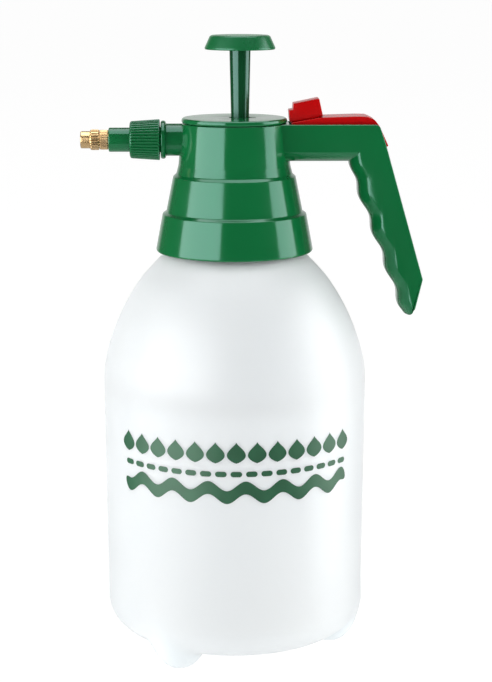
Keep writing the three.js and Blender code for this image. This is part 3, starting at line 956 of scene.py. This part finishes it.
def nut_wave(angle, r, d):
    """Forty rounded ribs with narrow grooves, fading out at both ends."""
    start, end = 35.8, 49.4
    if r < 8.3 or d < start or d > end:
        return r
    groove = (0.5 + 0.5 * math.cos(40 * angle)) ** 3
    fade = min(1.0, (d - start) / 0.3, (end - d) / 0.8)
    return r - 0.62 * groove * fade


def nut_piece():
    front = [(9.2 - 0.3 * k / 12 + 0.5 * (1 - k / 12), 36.4 + 11.8 * k / 12) for k in range(13)]
    back = rounded([(7, 35.6, 0.2), (9.4, 35.6, 0.3)]) + [(9.68, 35.85), (9.72, 36.1)]
    bore = rounded([
        (8.9, 48.4), (8.75, 49.5, 0.8), (7.9, 49.9, 0.6), (6.2, 49.9, 0.3), (6.2, 48.4, 0.2), (7, 48.4),
    ], steps=6)
    profile = back + front + bore
    return lathe("union_nut", profile, 480, forward=True, wave=nut_wave, sharp=50)


def sleeve_piece():
    profile = rounded([
        (3.6, 46.4, 0.2), (6.7, 46.4, 0.3), (6.7, 48, 0.3), (5.8, 48), (5.78, 60, 0.6), (3.6, 60, 0.3),
    ], closed=True, steps=5)
    return lathe("lance_sleeve", profile, 96, forward=True)


def collar_wave(angle, r, d):
    """Twenty-eight fine ribs on the collar's rim."""
    if r < 4.3 or d < 60.5:
        return r
    return r - 0.22 * (0.5 + 0.5 * math.cos(28 * angle)) ** 2


def collar_piece():
    profile = rounded([
        (1.4, 48), (3.3, 48, 0.2), (3.3, 60.3), (4.5, 60.3, 0.15), (4.7, 60.6, 0.15), (4.7, 63.9, 0.2),
        (4.45, 64.2, 0.15), (2.2, 64.2), (2.2, 69.4, 0.2), (1.4, 69.4),
    ], closed=True)
    return lathe("brass_ring", profile, 336, forward=True, wave=collar_wave, sharp=50)


def tip_wave(angle, r, d):
    """Eighteen grooves along the tip's grip, fading out at both ends."""
    start, end = 64.6, 68.6
    if r < 4.3 or d > end:
        return r
    fade = min(1.0, max(0.0, (d - start) / 0.3), (end - d) / 0.3)
    return r - 0.4 * (0.5 + 0.5 * math.cos(18 * angle)) ** 5 * fade


def tip_piece():
    profile = rounded([
        (3, 64.5), (4.6, 64.5, 0.2), (4.9, 64.9, 0.2), (4.9, 66.6), (4.9, 68.2, 0.3), (4.55, 68.7, 0.3),
        (4.1, 68.75, 0.1), (4.1, 73.4, 0.55), (2.5, 73.4, 0.25), (2.1, 72.6, 0.2), (0.5, 72.6, 0.1),
        (0.5, 71.6), (3, 71.4),
    ], closed=True)
    return lathe("brass_spray_tip", profile, 324, forward=True, wave=tip_wave, sharp=50)


dress(nut_piece(), "nozzle_nut", "green_plastic", "nozzle_nut")
dress(sleeve_piece(), "head", "green_plastic", "nozzle_sleeve")
dress(collar_piece(), "head", "brass", "brass_collar")
dress(tip_piece(), "nozzle_tip", "brass", "brass_tip")


# ---------------------------------------------------------------- CAD nodes that stay

slot_of = {row["node"]: row["material_slot"] for row in frame["record"]["subparts"]}
for name, node in frame["nodes"].items():
    if node.hide_render:
        continue
    node.data.materials.clear()
    node.data.materials.append(SLOTS[slot_of[name]].material)


# ---------------------------------------------------------------- stage


def aim(thing, target):
    thing.rotation_euler = (Vector(target) - thing.location).to_track_quat("-Z", "Y").to_euler()


def softbox(name, place, size, radiance, target, gloss):
    """A rectangular lamp that is either seen only in reflections or only lights."""
    data = bpy.data.lights.new(name, "AREA")
    data.shape = "RECTANGLE"
    data.size, data.size_y = size
    data.energy = radiance * math.pi * size[0] * size[1]
    lamp = link(name, data)
    lamp.visible_diffuse = not gloss
    lamp.visible_glossy = gloss
    lamp.location = place
    aim(lamp, target)


def around(azimuth, distance, height):
    """A place round the object; azimuth 0 is the camera's side, positive towards the grip."""
    a = math.radians(azimuth)
    return (distance * math.sin(a), -distance * math.cos(a), height)


FLOOR_HALF = 40
FLOOR_DROP = 0.0002
FLOOR_GREY = 0.1
FLOOR_GLOW = 0.97
MIDDLE = (0, 0, 0.17)
TOP_LAMP = (0, 0.15, 1.8)
TOP_SIZE = (2.0, 1.9)
SIDE_DISTANCE = 1.5
SIDE_HEIGHT = 0.3


def beside(azimuth):
    """A place for a lamp beside the object."""
    return around(azimuth, SIDE_DISTANCE, SIDE_HEIGHT)


def stage():
    floor_data = bmesh.new()
    bmesh.ops.create_grid(floor_data, x_segments=2, y_segments=2, size=FLOOR_HALF)
    mesh = bpy.data.meshes.new("floor")
    floor_data.to_mesh(mesh)
    floor_data.free()
    floor = link("floor", mesh)
    floor.location.z = -FLOOR_DROP
    floor.visible_glossy = False
    paint = bpy.data.materials.new("pale_floor")
    paint.use_nodes = True
    coat = paint.node_tree.nodes["Principled BSDF"].inputs
    coat["Base Color"].default_value = (FLOOR_GREY, FLOOR_GREY, FLOOR_GREY, 1)
    coat["Roughness"].default_value = 0.9
    coat["Specular IOR Level"].default_value = 0.0
    coat["Emission Color"].default_value = (1, 1, 1, 1)
    coat["Emission Strength"].default_value = FLOOR_GLOW
    mesh.materials.append(paint)
    surroundings()
    below = (*TOP_LAMP[:2], 0)
    softbox("left_reflection", beside(-55), (1.95, 1.7), 5.2, MIDDLE, gloss=True)
    softbox("right_reflection", beside(90), (1.25, 1.7), 4.0, MIDDLE, gloss=True)
    softbox("top_reflection", TOP_LAMP, TOP_SIZE, 3.4, below, gloss=True)
    softbox("left_fill", beside(-75), (1.8, 1.7), 3.7, MIDDLE, gloss=False)
    softbox("right_fill", beside(78), (1.4, 1.7), 3.8, MIDDLE, gloss=False)
    softbox("top_fill", TOP_LAMP, TOP_SIZE, 2.8, below, gloss=False)
    softbox("low_fill", around(8, 0.5, 0.06), (0.6, 0.1), 2.4, (0, 0, 0.06), gloss=False)
    softbox("front_fill", around(10, 1.3, 1.7), (1.6, 1.2), 0.8, MIDDLE, gloss=False)


def surroundings():
    """A studio that is white behind and below the object and dark on the camera's side."""
    world = bpy.data.worlds.new("studio")
    bpy.context.scene.world = world
    world.use_nodes = True
    tree = world.node_tree
    background = tree.nodes["Background"]

    def math_node(operation, first, second):
        node = tree.nodes.new("ShaderNodeMath")
        node.operation = operation
        for socket, value in zip(node.inputs, (first, second)):
            if isinstance(value, float):
                socket.default_value = value
            else:
                tree.links.new(value, socket)
        return node.outputs[0]

    split = tree.nodes.new("ShaderNodeSeparateXYZ")
    tree.links.new(tree.nodes.new("ShaderNodeTexCoord").outputs["Generated"], split.inputs[0])
    behind = math_node("SUBTRACT", split.outputs["Y"], 0.85)
    below = math_node("SUBTRACT", math_node("MULTIPLY", split.outputs["Z"], -1.0), 0.56)
    ramp = tree.nodes.new("ShaderNodeMapRange")
    ramp.interpolation_type = "SMOOTHSTEP"
    for socket, number in (("From Min", -0.06), ("From Max", 0.06), ("To Min", 0.1), ("To Max", 0.75)):
        ramp.inputs[socket].default_value = number
    tree.links.new(math_node("MAXIMUM", behind, below), ramp.inputs["Value"])
    tree.links.new(ramp.outputs["Result"], background.inputs["Strength"])
    background.inputs["Color"].default_value = (1, 1, 1, 1)


stage()


# ---------------------------------------------------------------- camera

FOCAL_PIXELS = 1750
IMAGE_HEIGHT = 682
SENSOR = 36.0
PITCH = math.radians(11.9)
DISTANCE = 0.857
AIM_Z = 0.15195
AIM_X = (BOTTLE_AXIS + 5.55) * MM
YAW = math.radians(1.0)

camera_data = bpy.data.cameras.new("camera")
camera_data.sensor_fit = "VERTICAL"
camera_data.sensor_height = SENSOR
camera_data.lens = FOCAL_PIXELS * SENSOR / IMAGE_HEIGHT
camera = link("camera", camera_data)
camera.location = (
    AIM_X - DISTANCE * math.sin(YAW) * math.cos(PITCH),
    -DISTANCE * math.cos(YAW) * math.cos(PITCH),
    AIM_Z + DISTANCE * math.sin(PITCH),
)
aim(camera, (AIM_X, 0, AIM_Z))
bpy.context.scene.camera = camera
bpy.context.scene.view_settings.view_transform = "Standard"
